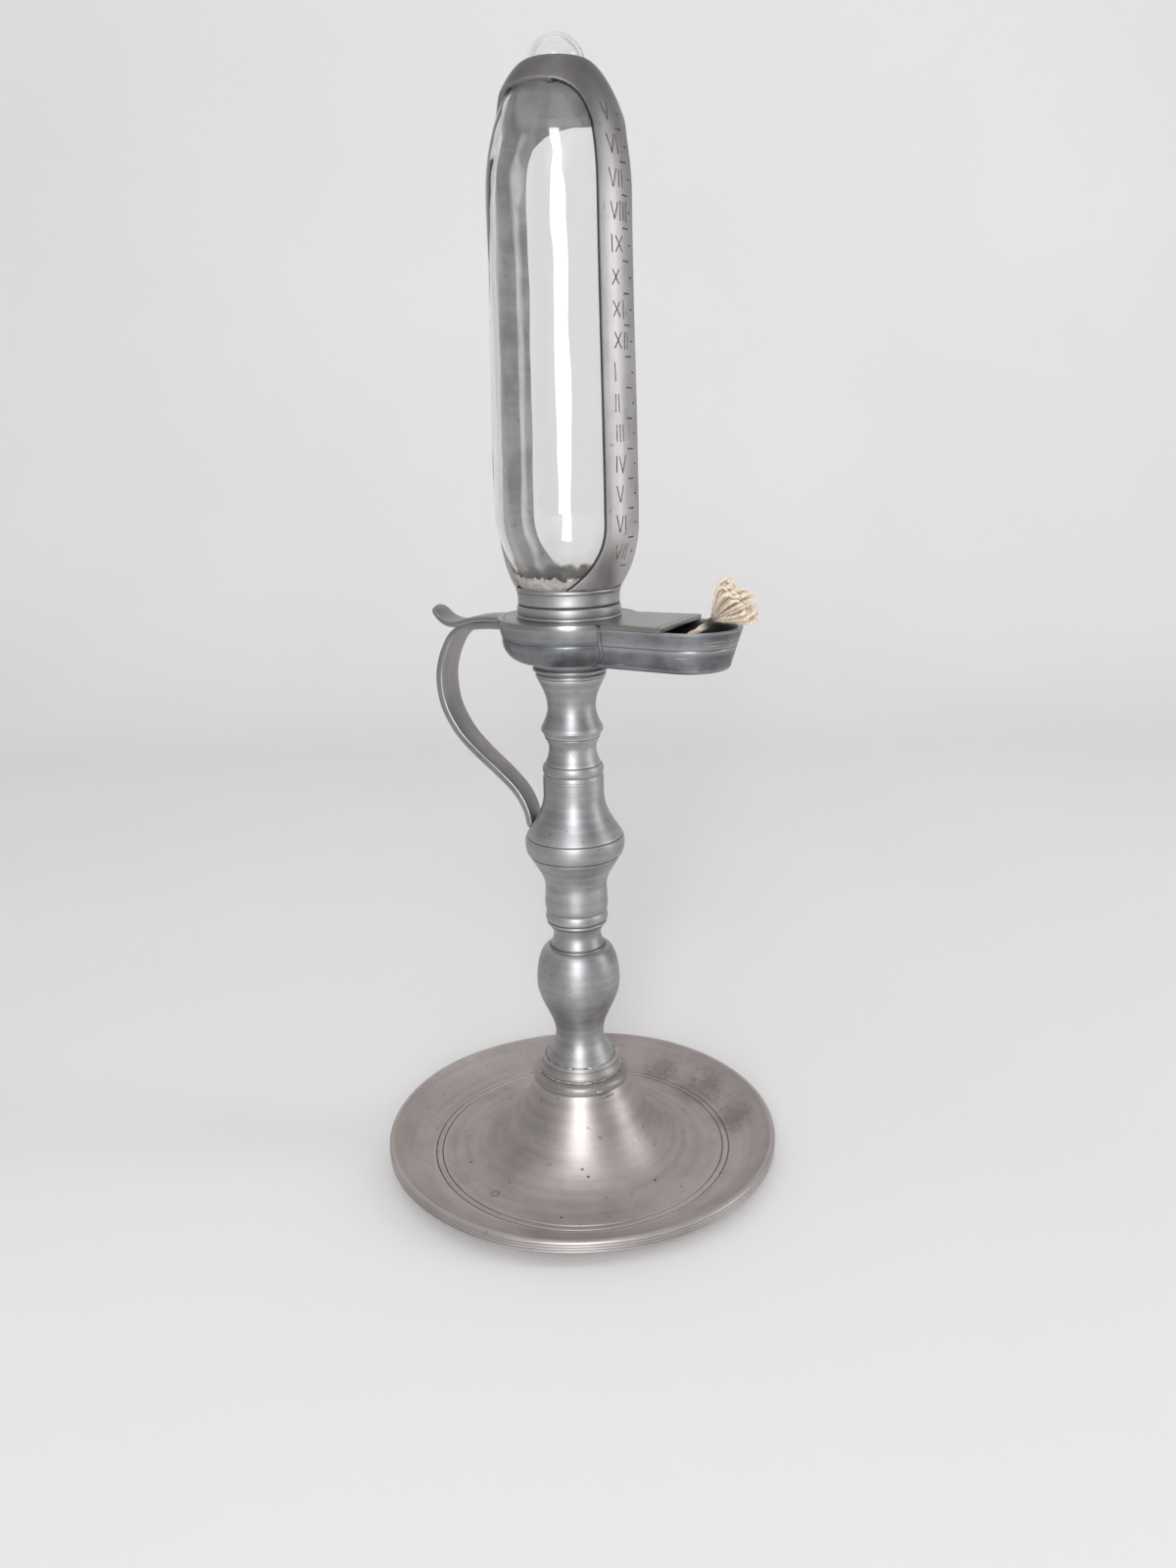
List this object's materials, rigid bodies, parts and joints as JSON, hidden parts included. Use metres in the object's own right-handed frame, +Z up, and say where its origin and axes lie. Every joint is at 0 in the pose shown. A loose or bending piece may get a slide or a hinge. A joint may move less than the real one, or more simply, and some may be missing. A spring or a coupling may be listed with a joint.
{
  "type": "oil lamp clock",
  "caption": "Pewter oil lamp clock: a turned stem on a drip pan carries a spouted oil bowl with a strap handle and a screwed-in glass reservoir whose mount has an hour scale cut into one strap.",
  "frame": {"origin": "on the stem's axis, in the plane that the drip pan stands on", "axes": "+Z up along the stem, +X towards the spout, -X towards the handle"},
  "size_m": [0.131, 0.131, 0.3399],
  "materials": {
    "pewter": "turned and rubbed, with a grey patina",
    "dark_pewter": "darker grey patina",
    "cotton": "twisted cotton yarn",
    "leather": "oil-soaked",
    "glass": "clear blown glass",
    "cement": "rough brown cement"
  },
  "bodies": {
    "lamp": {"drip_pan": "pewter", "foot_ring": "pewter", "stem_baluster": "pewter", "stem_neck": "pewter", "stem_cup": "pewter", "stem_bell": "pewter", "lower_spool": "pewter", "upper_spool": "pewter", "bowl_seat": "pewter", "lamp_bowl": "dark_pewter", "spout": "dark_pewter", "lamp_cover": "pewter", "socket_ring": "pewter", "handle": "pewter", "thumb_rest": "pewter", "wick": "cotton", "wick_tuft": "cotton"},
    "seal": {"seal_washer": "leather"},
    "reservoir": {"neck_collar": "pewter", "hour_strap": "pewter", "plain_strap": "pewter", "top_cap": "dark_pewter", "glass_reservoir": "glass", "neck_cement": "cement"}
  },
  "joints": [
    {"name": "reservoir_lift", "type": "slide", "parent": "lamp", "child": "seal", "axis": [0, 0, 1], "range_m": [0, 0.007]},
    {"name": "reservoir_turn", "type": "hinge", "parent": "seal", "child": "reservoir", "pos_m": [0, 0, 0.187], "axis": [0, 0, 1], "range_deg": [0, 990]}
  ],
  "couplings": [
    {"joint": "reservoir_lift", "follows": "reservoir_turn", "m_per_rad": 0.00039789}
  ]
}
